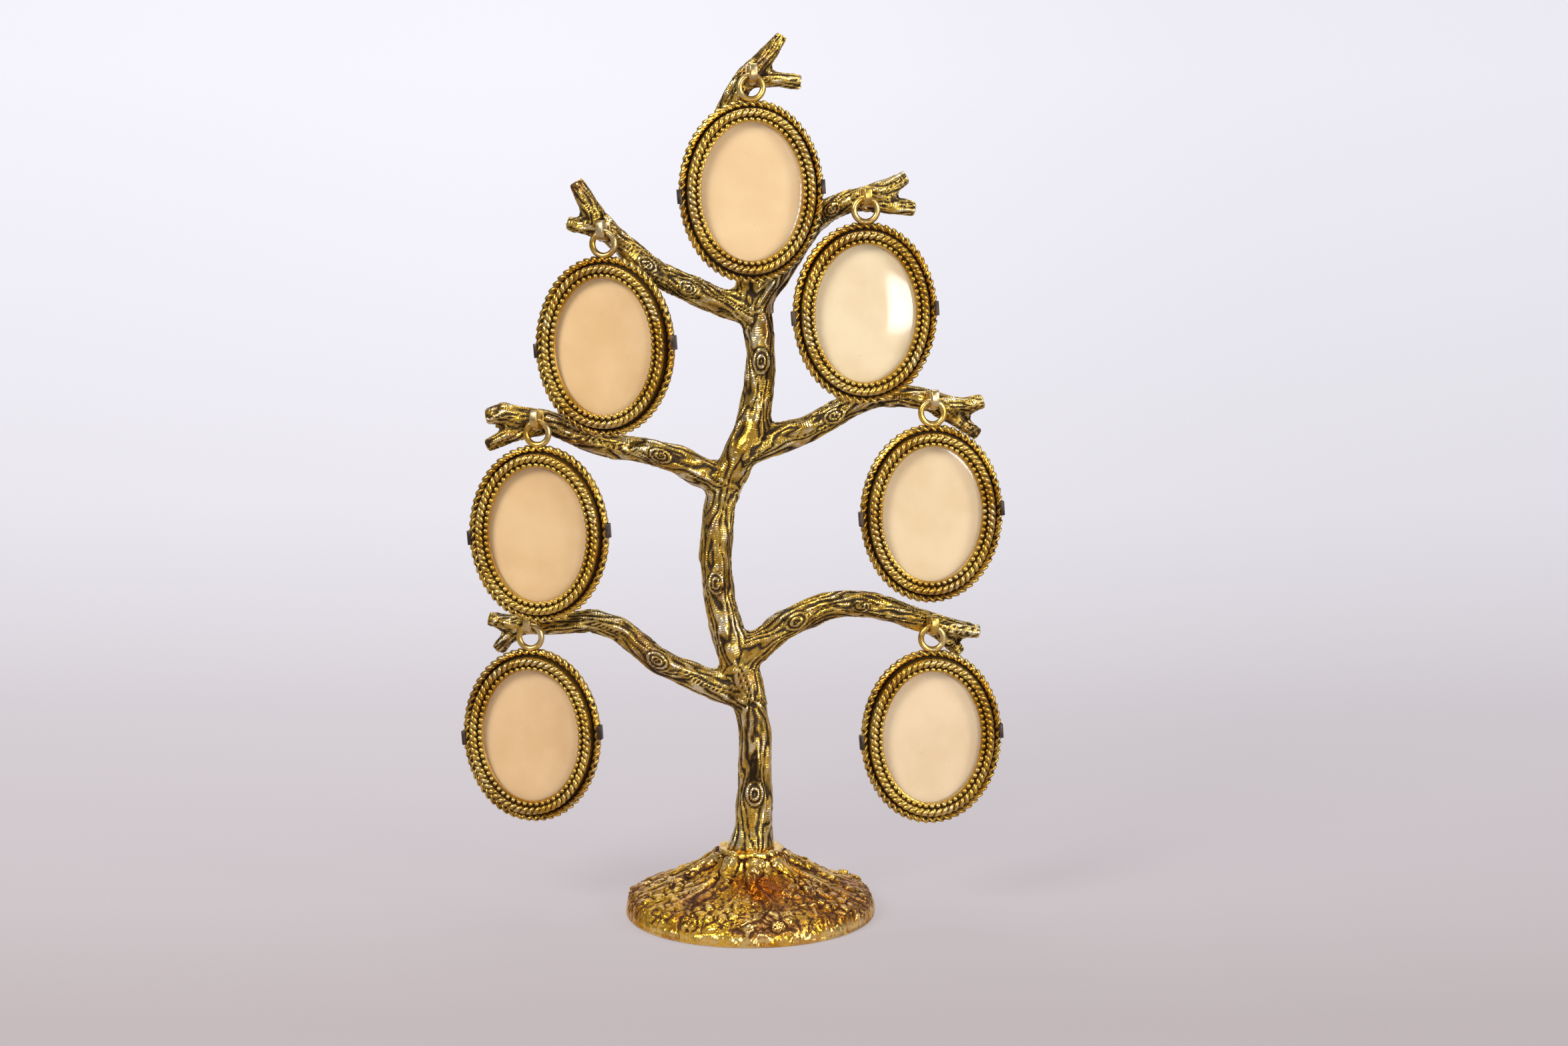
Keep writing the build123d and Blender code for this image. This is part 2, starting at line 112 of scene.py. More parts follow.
class Finish:
    """A material's nodes, built one call at a time."""

    def __init__(self, name):
        self.material = bpy.data.materials.new(name)
        self.material.use_nodes = True
        self.nodes = self.material.node_tree.nodes
        self.nodes.clear()
        self.place = self.node("ShaderNodeTexCoord", output="Object")

    def node(self, kind, settings=None, values=None, output=0):
        """Adds a node. Settings come first, then numbers or wires for its inputs."""
        node = self.nodes.new(kind)
        for name, value in (settings or {}).items():
            if name == "stops":
                for index, (position, colour) in enumerate(value):
                    stops = node.color_ramp.elements
                    stop = stops[index] if index < 2 else stops.new(position)
                    stop.position = position
                    stop.color = colour
            else:
                setattr(node, name, value)
        for name, value in (values or {}).items():
            if isinstance(value, Wire):
                self.material.node_tree.links.new(value.socket, node.inputs[name])
            else:
                node.inputs[name].default_value = value
        return Wire(self, node.outputs[output])

    def noise(self, scale, detail):
        """Soft noise with grains of about 1/scale metres."""
        values = {"Vector": self.place, "Scale": scale, "Detail": detail, "Roughness": 0.55}
        return self.node("ShaderNodeTexNoise", values=values)

    def ramp(self, value, low, high):
        """0 under low, 1 over high, and smooth between."""
        settings = {"interpolation_type": "SMOOTHSTEP"}
        values = {"Value": value, "From Min": low, "From Max": high}
        return self.node("ShaderNodeMapRange", settings, values)

    def blend(self, mask, first, second):
        """A colour that goes from the first to the second as the mask rises."""
        values = {"Factor": mask, 6: first, 7: second}
        return self.node("ShaderNodeMix", {"data_type": "RGBA"}, values, output=2)

    def bump(self, height, distance, strength):
        values = {"Height": height, "Distance": distance, "Strength": strength}
        return self.node("ShaderNodeBump", values=values)

    def recess(self):
        """How closed-in a point is, stored on the mesh: 0 is open and 1 is deep."""
        return self.node("ShaderNodeAttribute", {"attribute_name": "recess"}, output="Fac")

    def surface(self, **values):
        """Ends the finish in a Principled surface. Names use _ for a space."""
        named = {name.replace("_", " "): value for name, value in values.items()}
        shader = self.node("ShaderNodeBsdfPrincipled", values=named)
        self.node_out(shader)
        return self.material

    def node_out(self, shader):
        output = self.nodes.new("ShaderNodeOutputMaterial")
        self.material.node_tree.links.new(shader.socket, output.inputs["Surface"])


def tone(red, green, blue):
    """A colour as it shows on a screen, 0 to 255, turned into light."""
    return (*((value / 255) ** 2.2 for value in (red, green, blue)), 1)


print("shader helpers ready")

# %% [markdown]
# ## Backdrop
# The stand was photographed on pale paper that curves up behind it. A sweep of paper does that: a
# plane whose back edge is extruded upwards, with the fold bevelled round. Its tone carries painted
# shade, darker in the foreground than high up and a little darker on the right, and the metal must
# reflect the same pale paper.


# %% Make the paper sweep
def pick_edges(piece, wanted):
    """In edit mode, selects only the edges whose both ends are wanted."""
    bpy.ops.mesh.select_all(action="DESELECT")
    bpy.ops.object.mode_set(mode="OBJECT")
    for edge in piece.data.edges:
        edge.select = all(wanted(piece.data.vertices[index].co) for index in edge.vertices)
    bpy.ops.object.mode_set(mode="EDIT")


bpy.ops.mesh.primitive_plane_add(size=1, location=(0, 0, 0))
sweep = bpy.context.object
sweep.name = "paper_sweep"
bpy.ops.object.mode_set(mode="EDIT")
bpy.ops.transform.resize(value=(1.9, 1.6, 1))
bpy.ops.transform.translate(value=(0, 0.2, 0))
fold_line = 0.9  # just in front of the back edge, in metres
pick_edges(sweep, lambda end: end.y > fold_line)
bpy.ops.mesh.extrude_region_move(TRANSFORM_OT_translate={"value": (0, 0.1, 1.6)})
pick_edges(sweep, lambda end: end.y > fold_line and end.z < 0.1)
bpy.ops.mesh.bevel(offset=0.7, segments=24)
bpy.ops.object.mode_set(mode="OBJECT")
bpy.ops.object.shade_smooth()

paper = Finish("paper_sweep")
place = {}
for axis in "XYZ":
    place[axis] = paper.node("ShaderNodeSeparateXYZ", values={"Vector": paper.place}, output=axis)
# How far back and up a point of the paper lies, as a share
distance = (place["Z"] * 0.9 + place["Y"] + 0.15) / 1.6
# Painted shade: the paper's tone darkens towards the front
stops = [
    (0.03, tone(191, 181, 182)), (0.10, tone(203, 194, 197)), (0.30, tone(217, 211, 216)),
    (0.49, tone(238, 235, 242)), (0.82, tone(253, 252, 260)),
]
paper_tone_with_painted_shade = paper.node("ShaderNodeValToRGB", {"stops": stops}, {"Fac": distance})
# Painted shade, a little darker towards the right
painted_shade_right = paper.ramp(place["X"], -0.2, 0.35) * 0.10
paper_tone_with_painted_shade = paper.blend(painted_shade_right, paper_tone_with_painted_shade, tone(120, 116, 120))
lit = paper.node("ShaderNodeBsdfDiffuse", values={"Color": paper_tone_with_painted_shade})
glow = paper.node("ShaderNodeEmission", values={"Color": paper_tone_with_painted_shade, "Strength": 1.0})
seen = 0.0
for ray in ("Is Camera Ray", "Is Glossy Ray", "Is Transmission Ray"):
    ray = paper.node("ShaderNodeLightPath", output=ray)
    seen = paper.node("ShaderNodeMath", {"operation": "MAXIMUM"}, {0: ray, 1: seen})
paper.node_out(paper.node("ShaderNodeMixShader", values={0: seen * 0.75, 1: lit, 2: glow}))
sweep.data.materials.append(paper.material)
print("sweep faces:", len(sweep.data.polygons))

# %% [markdown]
# ## Light
# Softboxes give the metal the long bright streaks that gold shows. An area light does the same: one
# stands high in front on the left, a weaker one on the right, and one hangs overhead and draws the
# upper edges. The last stands where the bowed pane mirrors it towards the camera.

# %% Hang the lights
room = bpy.data.worlds.new("room")
room.use_nodes = True
room_nodes = room.node_tree
camera_ray = room_nodes.nodes.new("ShaderNodeLightPath").outputs["Is Camera Ray"]
room_tone = room_nodes.nodes.new("ShaderNodeMix")
room_tone.data_type = "RGBA"
room_tone.inputs[6].default_value = (0.25, 0.25, 0.27, 1)
room_tone.inputs[7].default_value = tone(226, 223, 229)
room_nodes.links.new(camera_ray, room_tone.inputs["Factor"])
room_nodes.links.new(room_tone.outputs[2], room_nodes.nodes["Background"].inputs["Color"])
bpy.context.scene.world = room


def softbox(name, place, aim, width, height, watts):
    """An area light at a place in millimetres, turned to face another place."""
    place = Vector(place) * mm
    turn = (Vector(aim) * mm - place).to_track_quat("-Z", "Y").to_euler()
    bpy.ops.object.light_add(type="AREA", location=place, rotation=turn)
    lamp = bpy.context.object
    lamp.name = name
    lamp.data.shape = "RECTANGLE"
    lamp.data.size = width * mm
    lamp.data.size_y = height * mm
    lamp.data.energy = watts


stand_middle = (0, 0, 130)
softbox("key", (-560, -760, 720), stand_middle, width=380, height=380, watts=9)
softbox("fill", (800, -520, 430), stand_middle, width=260, height=520, watts=4)
softbox("crown", (60, 60, 900), stand_middle, width=700, height=400, watts=3)
softbox("glare", (425, -860, 172), (34, -10, 183), width=200, height=150, watts=2.1)

# %% [markdown]
# ## Where the pieces are
# Each frame hangs on a joint whose place is the middle of its eye's top wire. The joint's axis lies
# along the frame's width, so both together give the frame's plane. A piece is modelled once, flat
# and about the middle of its oval, and then set into each of the seven planes.

# %% Find the hanging places
frame_drop = 33.3  # from the middle of the wire to the middle of the oval, in millimetres
hook_turn = radians(10)
hangers = {}
for joint in frame["joints"]:
    name = joint["name"].removesuffix("_swing")
    right = -Vector(joint["axis"]).normalized()
    forward = right.cross(Vector((0, 0, 1)))
    pivot = Vector(joint["pos_m"])
    middle = pivot - Vector((0, 0, frame_drop * mm))
    turned = Matrix((right, (0, 0, 1), forward)).transposed().to_4x4()
    outwards = 1 if right.y > 0 else -1
    hook_way = turned @ Matrix.Rotation(hook_turn * outwards, 4, "Y")
    hangers[name] = {
        "frame": Matrix.Translation(middle) @ turned,
        "hook": Matrix.Translation(pivot) @ hook_way,
    }
print("hanging places:", sorted(hangers))

# %% [markdown]
# ## Helpers for every piece
# Some steps come again with each piece. The last one looks out from each point and measures what is
# close in front of it. The dark wash of an antique finish stays in such places, and the same measure
# also paints shade there.


# %% Write the helpers
def pick(*pieces):
    """Selects only these pieces. The first is the active one."""
    bpy.ops.object.select_all(action="DESELECT")
    for piece in pieces:
        piece.select_set(True)
    bpy.context.view_layer.objects.active = pieces[0]


def settle(piece):
    """Puts a piece's place, turn and modifiers into its mesh."""
    pick(piece)
    for modifier in list(piece.modifiers):
        bpy.ops.object.modifier_apply(modifier=modifier.name)
    bpy.ops.object.transform_apply(location=True, rotation=True, scale=True)


def face_outwards(piece):
    """Turns all faces of a closed piece outwards."""
    pick(piece)
    bpy.ops.object.mode_set(mode="EDIT")
    bpy.ops.mesh.select_all(action="SELECT")
    bpy.ops.mesh.remove_doubles(threshold=0.000001)
    bpy.ops.mesh.normals_make_consistent(inside=False)
    bpy.ops.object.mode_set(mode="OBJECT")


def join(name, pieces):
    """Joins pieces into one with a name."""
    pick(*pieces)
    bpy.ops.object.join()
    piece = bpy.context.object
    piece.name = name
    piece.data.name = name
    return piece


def paint(piece, finish):
    """Gives a piece one material."""
    piece.data.materials.clear()
    piece.data.materials.append(finish)


def find_recesses(piece, reach, rays=14, hollows=0):
    """Stores on a piece how closed-in each point is, as far as reach (mm) shows, plus its hollows."""
    mesh = piece.data
    points = [vertex.co.copy() for vertex in mesh.vertices]
    shell = BVHTree.FromPolygons(points, [tuple(face.vertices) for face in mesh.polygons])
    # Rays spread evenly over the half sphere outside a point, turned by the golden angle. They start
    # a little above it, and what they meet counts less the farther off it is.
    flattest, lift, fade = 0.92, 0.02, 0.6
    spread = []
    for index in range(rays):
        up = 1 - (index + 0.5) / rays * flattest
        around = index * pi * (3 - sqrt(5))
        out = sqrt(1 - up * up)
        spread.append(Vector((out * cos(around), out * sin(around), up)))
    reach = reach * mm
    values = np.zeros(len(points), dtype=np.float32)
    for index, vertex in enumerate(mesh.vertices):
        normal = vertex.normal
        turn = Vector((0, 0, 1)).rotation_difference(normal)
        start = points[index] + normal * lift * mm
        total = 0.0
        for ray in spread:
            distance = shell.ray_cast(start, turn @ ray, reach)[3]
            if distance is not None:
                total += 1 - distance / reach * fade
        values[index] = total / rays
    values += hollows
    mesh.attributes.new("recess", "FLOAT", "POINT").data.foreach_set("value", values)
    print(piece.name, "points:", len(points), "mean recess:", round(float(values.mean()), 2))


print("helpers ready")

# %% [markdown]
# ## Antique gold
# The castings were plated bright, dipped in a dark wash and rubbed back. So the wash stays in the
# recesses, the gold shows on the slopes, and the highest points are worn to pale grey metal. The
# stored recess value drives the wash, which also paints shade into the recesses, and noise breaks up
# its edge and the wear.


# %% Write the recipe of the gold
def gold(name, bright, deep, wash_and_shade_tone, worn, wash_and_shade_range, wear_from, shine, extra=None):
    """Plated, washed and rubbed metal with painted shade in recesses. Tones are screen colours. Extra
    adds relief or a stain.
    """
    finish = Finish(name)
    recess = finish.recess()
    cloudy = finish.noise(90, 4)
    fine = finish.noise(900, 4)
    colour = finish.blend(finish.ramp(finish.noise(55, 3), 0.38, 0.62), bright, deep)
    wear = finish.ramp((1 - recess) * 0.75 + cloudy * 0.5 + fine * 0.2, wear_from, wear_from + 0.16)
    colour = finish.blend(wear * 0.85, colour, worn)
    relief = finish.noise(2600, 3) * 0.4 + fine
    if extra:
        colour, recess, relief = extra(finish, colour, recess, relief)
    # The dark in the recesses is the antique wash and painted shade together
    wash_and_painted_shade = finish.ramp(recess + fine * 0.22 + cloudy * 0.18, *wash_and_shade_range)
    colour = finish.blend(wash_and_painted_shade, colour, wash_and_shade_tone)
    rough = shine + wash_and_painted_shade * 0.32 + fine * 0.12
    grain = finish.bump(relief, 0.00008, 0.6)
    return finish.surface(Base_Color=colour, Metallic=1 - wash_and_painted_shade * 0.45, Roughness=rough, Normal=grain)


print("recipe ready")

# %% [markdown]
# ## Four golds
# The castings were plated alike and have aged in their own ways. The bark has lines and ribs too
# small for its mesh, so bump draws them, and the collar's foot has a brown stain. Two helpers add
# these to the recipe.


# %% Mix the gold finishes
def bark_detail(finish, colour, recess, relief):
    """Fine lines along the ropes of bark, small ribs across them, and a red-brown cloud."""
    bark = finish.node("ShaderNodeAttribute", {"attribute_name": "bark"}, output="Vector")
    strand = finish.node("ShaderNodeSeparateXYZ", values={"Vector": bark}, output="X")
    along = finish.node("ShaderNodeSeparateXYZ", values={"Vector": bark}, output="Z")
    drawn = finish.node("ShaderNodeCombineXYZ", values={"X": strand * 3.4, "Z": along * 0.3})
    values = {"Vector": drawn, "Scale": 1.0, "Detail": 3.0}
    lines = finish.node("ShaderNodeTexNoise", values=values)
    uneven = finish.noise(400, 2)
    waves = finish.node("ShaderNodeMath", {"operation": "SINE"}, {0: along * 8.8 + uneven * 7})
    ribs = waves * finish.ramp(1 - recess, 0.45, 0.8) * finish.ramp(uneven, 0.4, 0.6)
    cloud = finish.ramp(finish.noise(48, 2), 0.56, 0.66) * 0.55
    colour = finish.blend(cloud, colour, tone(150, 92, 40))
    return colour, recess + (1 - lines) * 0.36 - 0.05, relief + lines * 2.4 + ribs * 0.8


def ground_stain(finish, colour, recess, relief):
    """A brown varnish stain at the front of the collar's foot, and a dull buff film here and there."""
    values = {0: finish.place, 1: (3 * mm, -17 * mm, 12 * mm)}
    away = finish.node("ShaderNodeVectorMath", {"operation": "DISTANCE"}, values, output="Value")
    up = finish.node("ShaderNodeSeparateXYZ", values={"Vector": finish.place}, output="Z")
    below = 1 - finish.ramp(up, 14.5 * mm, 16.5 * mm)
    stain = below * (1 - finish.ramp(away + finish.noise(160, 3) * 0.006, 0.007, 0.018))
    film = finish.ramp(finish.noise(75, 4) + recess * 0.3, 0.55, 0.75)
    colour = finish.blend(film * 0.6, colour, tone(190, 134, 78))
    colour = finish.blend(stain * 0.85, colour, tone(158, 80, 16))
    return colour, recess * (1 - stain * 0.7), relief


frame_gold = gold(
    "frame_gold", bright=tone(216, 176, 84), deep=tone(178, 132, 46), wash_and_shade_tone=tone(58, 42, 18),
    worn=tone(214, 196, 148), wash_and_shade_range=(0.42, 0.72), wear_from=1.04, shine=0.24,
)
tree_gold = gold(
    "tree_gold", bright=tone(234, 194, 90), deep=tone(200, 156, 60), wash_and_shade_tone=tone(54, 38, 17),
    worn=tone(232, 222, 192), wash_and_shade_range=(0.34, 0.82), wear_from=0.98, shine=0.17, extra=bark_detail,
)
base_gold = gold(
    "base_gold", bright=tone(244, 190, 62), deep=tone(192, 126, 32), wash_and_shade_tone=tone(80, 46, 16),
    worn=tone(248, 214, 136), wash_and_shade_range=(0.26, 0.6), wear_from=1.0, shine=0.18, extra=ground_stain,
)
hook_gold = gold(
    "hook_gold", bright=tone(214, 176, 92), deep=tone(168, 132, 62), wash_and_shade_tone=tone(60, 46, 24),
    worn=tone(220, 204, 168), wash_and_shade_range=(0.50, 0.90), wear_from=1.06, shine=0.24,
)
print("gold finishes:", [m.name for m in (frame_gold, tree_gold, base_gold, hook_gold)])

# %% [markdown]
# ## The oval casting
# The casting is an oval ring with steps: a flange, a groove, a dome and a slope. An oval face is
# inset again and again, and moved forward a little each time, as a modeller would step a moulding.
# Each pair below is how far in from the rim a step lies, and how far forward.

# %% Write the steps and their helpers
half_width, half_height = 21.25, 26.5
flange_back = 1.55
rebate_inset, rebate_depth = 4.0, 2.3
moulding = [
    (0.2, 1.1), (0.42, 1.75), (1.0, 2.05), (1.55, 1.8), (1.9, 1.2), (2.1, 0.9), (2.4, 0.9),
    (2.46, 1.5), (2.52, 3.3), (2.62, 4.0), (2.85, 4.35), (3.3, 4.6), (3.85, 4.7), (4.4, 4.5),
    (4.8, 3.9), (4.95, 3.5), (6.28, 3.2), (6.42, 3.0), (6.48, 2.3),
]


def set_oval(inset, height):
    """In edit mode, makes a circle of a millimetre the oval at an inset and a height."""
    bpy.ops.transform.resize(value=(half_width - inset, half_height - inset, 1))
    bpy.ops.transform.translate(value=(0, 0, (height - flange_back) * mm))


def oval_face(name, inset, height):
    """A filled oval at a height in front of the flange's back, ready in edit mode."""
    bpy.ops.mesh.primitive_circle_add(vertices=120, radius=mm, fill_type="NGON")
    piece = bpy.context.object
    piece.name = name
    bpy.ops.object.mode_set(mode="EDIT")
    set_oval(inset, height)
    return piece


def step(inset, height, last):
    """Insets the oval's face to a new step, or lifts it straight where the inset stays."""
    last_inset, last_height = last
    if inset > last_inset:
        bpy.ops.mesh.inset(thickness=(inset - last_inset) * mm, use_even_offset=True)
    else:
        bpy.ops.mesh.extrude_region_move()
    bpy.ops.transform.translate(value=(0, 0, (height - last_height) * mm))
    return inset, height


def extrude(across, along, out):
    """Extrudes what is selected by a way in millimetres."""
    way = (across * mm, along * mm, out * mm)
    bpy.ops.mesh.extrude_region_move(TRANSFORM_OT_translate={"value": way})


def pick_openings():
    """In edit mode, selects the edges round the openings of a mesh."""
    bpy.ops.mesh.select_all(action="DESELECT")
    bpy.ops.mesh.select_non_manifold(extend=False, use_wire=False, use_multi_face=False)


def finish_shell(piece):
    """Closes a piece that is open at its ends, and turns its faces outwards."""
    pick_openings()
    bpy.ops.mesh.edge_face_add()
    bpy.ops.object.mode_set(mode="OBJECT")
    face_outwards(piece)


print("steps of the moulding:", len(moulding))

# %% [markdown]
# At the end the innermost face is deleted, and the two edges that are open then, of the rim and of
# the rebate, are bridged into the casting's flat back.

# %% Step the moulding
rim_inset = 0.2
casting = oval_face("casting", rim_inset, 0)
last = (rim_inset, 0)
for inset, height in moulding:
    last = step(inset, height, last)
# The rebate for the pane widens again behind the opening, and runs back to the flange
opening = last[0]
wider = (half_width - rebate_inset) / (half_width - opening)
taller = (half_height - rebate_inset) / (half_height - opening)
bpy.ops.mesh.extrude_region_move()
bpy.ops.transform.resize(value=(wider, taller, 1))
extrude(0, 0, -rebate_depth)
bpy.ops.mesh.delete(type="FACE")
pick_openings()
bpy.ops.mesh.bridge_edge_loops()
bpy.ops.object.mode_set(mode="OBJECT")
face_outwards(casting)
bpy.ops.object.shade_smooth_by_angle(angle=radians(35))
print("casting faces:", len(casting.data.polygons))

# %% [markdown]
# ## Ropes and beads
# A cast rope is a row of slanted, overlapping strands. One strand is modelled, repeated along a
# straight line by an Array modifier, and bent round the oval by a Curve modifier. The outer rope
# slants one way and the front rope the other, and the beads follow in the same way.


# %% Lay a row round the oval
def oval_curve(inset, height):
    """An oval curve for a row to follow."""
    bpy.ops.curve.primitive_bezier_circle_add(radius=mm)
    oval = bpy.context.object
    oval.data.resolution_u = 64
    bpy.ops.object.mode_set(mode="EDIT")
    bpy.ops.curve.select_all(action="SELECT")
    set_oval(inset, height)
    bpy.ops.object.mode_set(mode="OBJECT")
    return oval


def row(name, inset, height, count, size, slant=0):
    """A row of rounded strands or beads round the oval. Size is length, width and depth in mm."""
    oval = oval_curve(inset, height)
    pitch = oval.data.splines[0].calc_length() / count
    bpy.ops.mesh.primitive_uv_sphere_add(segments=8, ring_count=7, radius=mm / 2)
    strand = bpy.context.object
    strand.name = name
    bpy.ops.object.mode_set(mode="EDIT")
    bpy.ops.transform.rotate(value=pi / 2, orient_axis="Y", center_override=(0, 0, 0))
    bpy.ops.transform.resize(value=size)
    bpy.ops.transform.rotate(value=radians(slant), orient_axis="Z", center_override=(0, 0, 0))
    bpy.ops.object.mode_set(mode="OBJECT")
    repeat = strand.modifiers.new("repeat", "ARRAY")
    repeat.count = count
    repeat.use_relative_offset = False
    repeat.use_constant_offset = True
    repeat.constant_offset_displace = (pitch, 0, 0)
    bend = strand.modifiers.new("bend", "CURVE")
    bend.object = oval
    bend.deform_axis = "POS_X"
    settle(strand)
    bpy.ops.object.shade_smooth()
    bpy.data.objects.remove(oval)
    print(name, "pitch:", round(pitch / mm, 2), "mm")
    return strand


outer_rope = row("outer_rope", inset=1.0, height=1.1, count=62, size=(3.7, 1.5, 2.25), slant=33)
front_rope = row("front_rope", inset=3.8, height=4.2, count=66, size=(3.2, 1.6, 1.7), slant=-42)
beads = row("beads", inset=5.7, height=3.75, count=62, size=(1.6, 1.6, 1.5))

# %% [markdown]
# ## The eye
# The eye is a ring of wire that is cast on. A torus has the right section, and its lower edge sinks
# a little into the outer rope. Then the casting is joined, and a copy goes into each hanging place.

# %% Add the eye and join the casting
eye_radius, wire_radius = 3.4, 0.92
bpy.ops.mesh.primitive_torus_add(
    location=(0, (frame_drop - eye_radius) * mm, 0), major_segments=48, minor_segments=14,
    major_radius=eye_radius * mm, minor_radius=wire_radius * mm,
)
eye = bpy.context.object
settle(eye)
bpy.ops.object.shade_smooth()
bezel = join("bezel", [casting, outer_rope, front_rope, beads, eye])
find_recesses(bezel, 1.6)


def hang(master, names, kind, node, finish, turn=Matrix()):
    """Sets a copy of a piece, with its own mesh, into each named place."""
    on_frame = node != "hook"
    for name in names:
        mesh = master.data.copy()
        mesh.name = f"{name}_{kind}"
        mesh.transform(hangers[name]["frame" if on_frame else "hook"] @ turn)
        piece = bpy.data.objects.new(mesh.name, mesh)
        paint(piece, finish)
        bpy.context.scene.collection.objects.link(piece)
        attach(piece, f"{name}_frame" if on_frame else "tree_stand")
        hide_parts(f"{name}_{node}")
    print(kind, "copied to:", ", ".join(names))


hang(bezel, hangers, "oval_casting", "bezel", frame_gold)
bpy.data.objects.remove(bezel)

# %% [markdown]
# ## Glass
# Each pane is clear with a low crown. Light that passes a refracting pane would leave the paper
# dark, so the pane mixes a mirror with plain see-through, by how flat the view meets it. The upper
# right pane is bowed more than the others and catches the window's light.

# %% Model the panes
glass = Finish("window_glass")
clear = glass.node("ShaderNodeBsdfTransparent", values={"Color": (0.97, 0.975, 0.97, 1)})
gloss = glass.node("ShaderNodeBsdfGlossy", values={"Roughness": 0.1})
edge = glass.node("ShaderNodeFresnel", values={"IOR": 1.45})
inside = glass.node("ShaderNodeNewGeometry", output="Backfacing")
glass.node_out(glass.node("ShaderNodeMixShader", values={0: edge * (1 - inside), 1: clear, 2: gloss}))
# Insets from the rim with rises of the crown, and then shares of the width with further rises
crown_insets = [(6.8, 0.12), (7.4, 0.1), (8.4, 0.12), (9.6, 0.12)]
crown_shares = [(0.86, 0.13), (0.86, 0.11), (0.84, 0.09), (0.8, 0.07), (0.7, 0.05), (0.5, 0.03)]


def model_pane(crown):
    """A pane for a casting's rebate. A crown of 1 is the most bowed and 0 is flat."""
    edge_inset, rear, shoulder = 4.2, 1.2, 2.3
    pane = oval_face("pane", edge_inset, rear)
    last = (edge_inset, rear)
    for inset in (edge_inset, 6.6):
        last = step(inset, shoulder, last)
    for inset, rise in crown_insets:
        last = step(inset, last[1] + rise * crown, last)
    for share, rise in crown_shares:
        extrude(0, 0, rise * crown)
        bpy.ops.transform.resize(value=(share, share, 1))
    bpy.ops.mesh.poke()
    finish_shell(pane)
    bpy.ops.object.shade_smooth_by_angle(angle=radians(30))
    return pane


low_crown, high_crown, bowed = 0.22, 1, "right_upper"
panes = {crown: model_pane(crown) for crown in (low_crown, high_crown)}
for name in hangers:
    pane = panes[high_crown if name == bowed else low_crown]
    hang(pane, [name], "glass", "window", glass.material)
for pane in panes.values():
    bpy.data.objects.remove(pane)

# %% [markdown]
# ## Cards
# Each frame shows a blank card where a photo goes. The CAD cards keep their shape and get the look
# of old warm paper. Their tones differ, so each has two tones of its own.


# %% Colour the cards
def card_paper(name, light, dark):
    """Old card: warm, faintly clouded, with small brown specks."""
    finish = Finish(name)
    colour = finish.blend(finish.ramp(finish.noise(70, 5), 0.35, 0.68), light, dark)
    specks = finish.ramp(finish.noise(1300, 2), 0.70, 0.76)
    colour = finish.blend(specks * 0.35, colour, tone(170, 128, 88))
    fibres = finish.bump(finish.noise(1800, 4), 0.00004, 0.3)
    return finish.surface(Base_Color=colour, Roughness=0.85, Normal=fibres)


card_tones = {
    "top": (tone(237, 204, 158), tone(231, 194, 147)),
    "left_upper": (tone(232, 194, 143), tone(224, 183, 130)),
    "right_upper": (tone(237, 214, 176), tone(230, 203, 162)),
    "left_middle": (tone(229, 192, 143), tone(221, 181, 130)),
    "left_lower": (tone(227, 189, 142), tone(219, 178, 129)),
    "right_middle": (tone(236, 208, 168), tone(228, 197, 154)),
    "right_lower": (tone(236, 209, 172), tone(228, 198, 158)),
}
for name, (light, dark) in card_tones.items():
    paint(frame["nodes"][f"{name}_card"], card_paper(f"{name}_card_paper", light, dark))
print("cards:", len(card_tones))

# %% [markdown]
# ## Back plates
# A thin dark steel plate closes each frame. Its middle is pressed forward against the card. It is
# stepped like the casting.

# %% Press the back plate
steel = Finish("dark_steel")
stain = steel.ramp(steel.noise(260, 5), 0.4, 0.7)
steel_tone = steel.blend(stain, tone(70, 60, 52), tone(104, 88, 74))
steel_bump = steel.bump(steel.noise(1500, 4), 0.00005, 0.6)
dark_steel = steel.surface(
    Base_Color=steel_tone, Metallic=0.85, Roughness=0.38 + stain * 0.2, Normal=steel_bump
)
plate_inset, plate_rear, plate_thickness = 2.2, -0.4, 0.38
plate = oval_face("plate", plate_inset, plate_rear)
extrude(0, 0, plate_thickness)
pick_openings()
bpy.ops.mesh.edge_face_add()
pressed_steps = [(4.5, plate_rear), (4.8, -0.3), (5.1, 0.0), (5.5, 0.08)]
last = (plate_inset, plate_rear)
for inset, height in pressed_steps:
    last = step(inset, height, last)
bpy.ops.object.mode_set(mode="OBJECT")
face_outwards(plate)
print("plate faces:", len(plate.data.polygons))

# %% [markdown]
# Two tabs hold the plate. Each is a strip that comes out past the rim and folds over the rope. Its
# outer edge is extruded once for each fold, and a Solidify modifier gives it its thickness.

# %% Fold the tabs
tab_length, tab_width, tab_gap, tab_thickness = 3.0, 4.2, 0.15, 0.4
folds = [(-0.12, 0.2), (0, 2.1), (0.2, 0.25), (0.9, 0)]  # inwards and forward


def tab(side):
    """A strip from the plate past the rim, folded forward and in over the rope."""
    bpy.ops.mesh.primitive_plane_add(size=mm)
    strip = bpy.context.object
    bpy.ops.object.mode_set(mode="EDIT")
    bpy.ops.transform.resize(value=(tab_length, tab_width, 1))
    middle = (half_width + tab_gap - tab_length / 2) * side * mm
    height = (-tab_thickness / 2 - flange_back) * mm
    bpy.ops.transform.translate(value=(middle, 0, height))
    # After each fold the new edge stays selected
    pick_edges(strip, lambda end: end.x * side > abs(middle))
    for inwards, forward in folds:
        extrude(-inwards * side, 0, forward)
    bpy.ops.object.mode_set(mode="OBJECT")
    wall = strip.modifiers.new("wall", "SOLIDIFY")
    wall.thickness = tab_thickness * mm
    wall.offset = 0
    soft = strip.modifiers.new("soft", "BEVEL")
    soft.width = 0.12 * mm
    soft.segments = 2
    settle(strip)
    face_outwards(strip)
    return strip


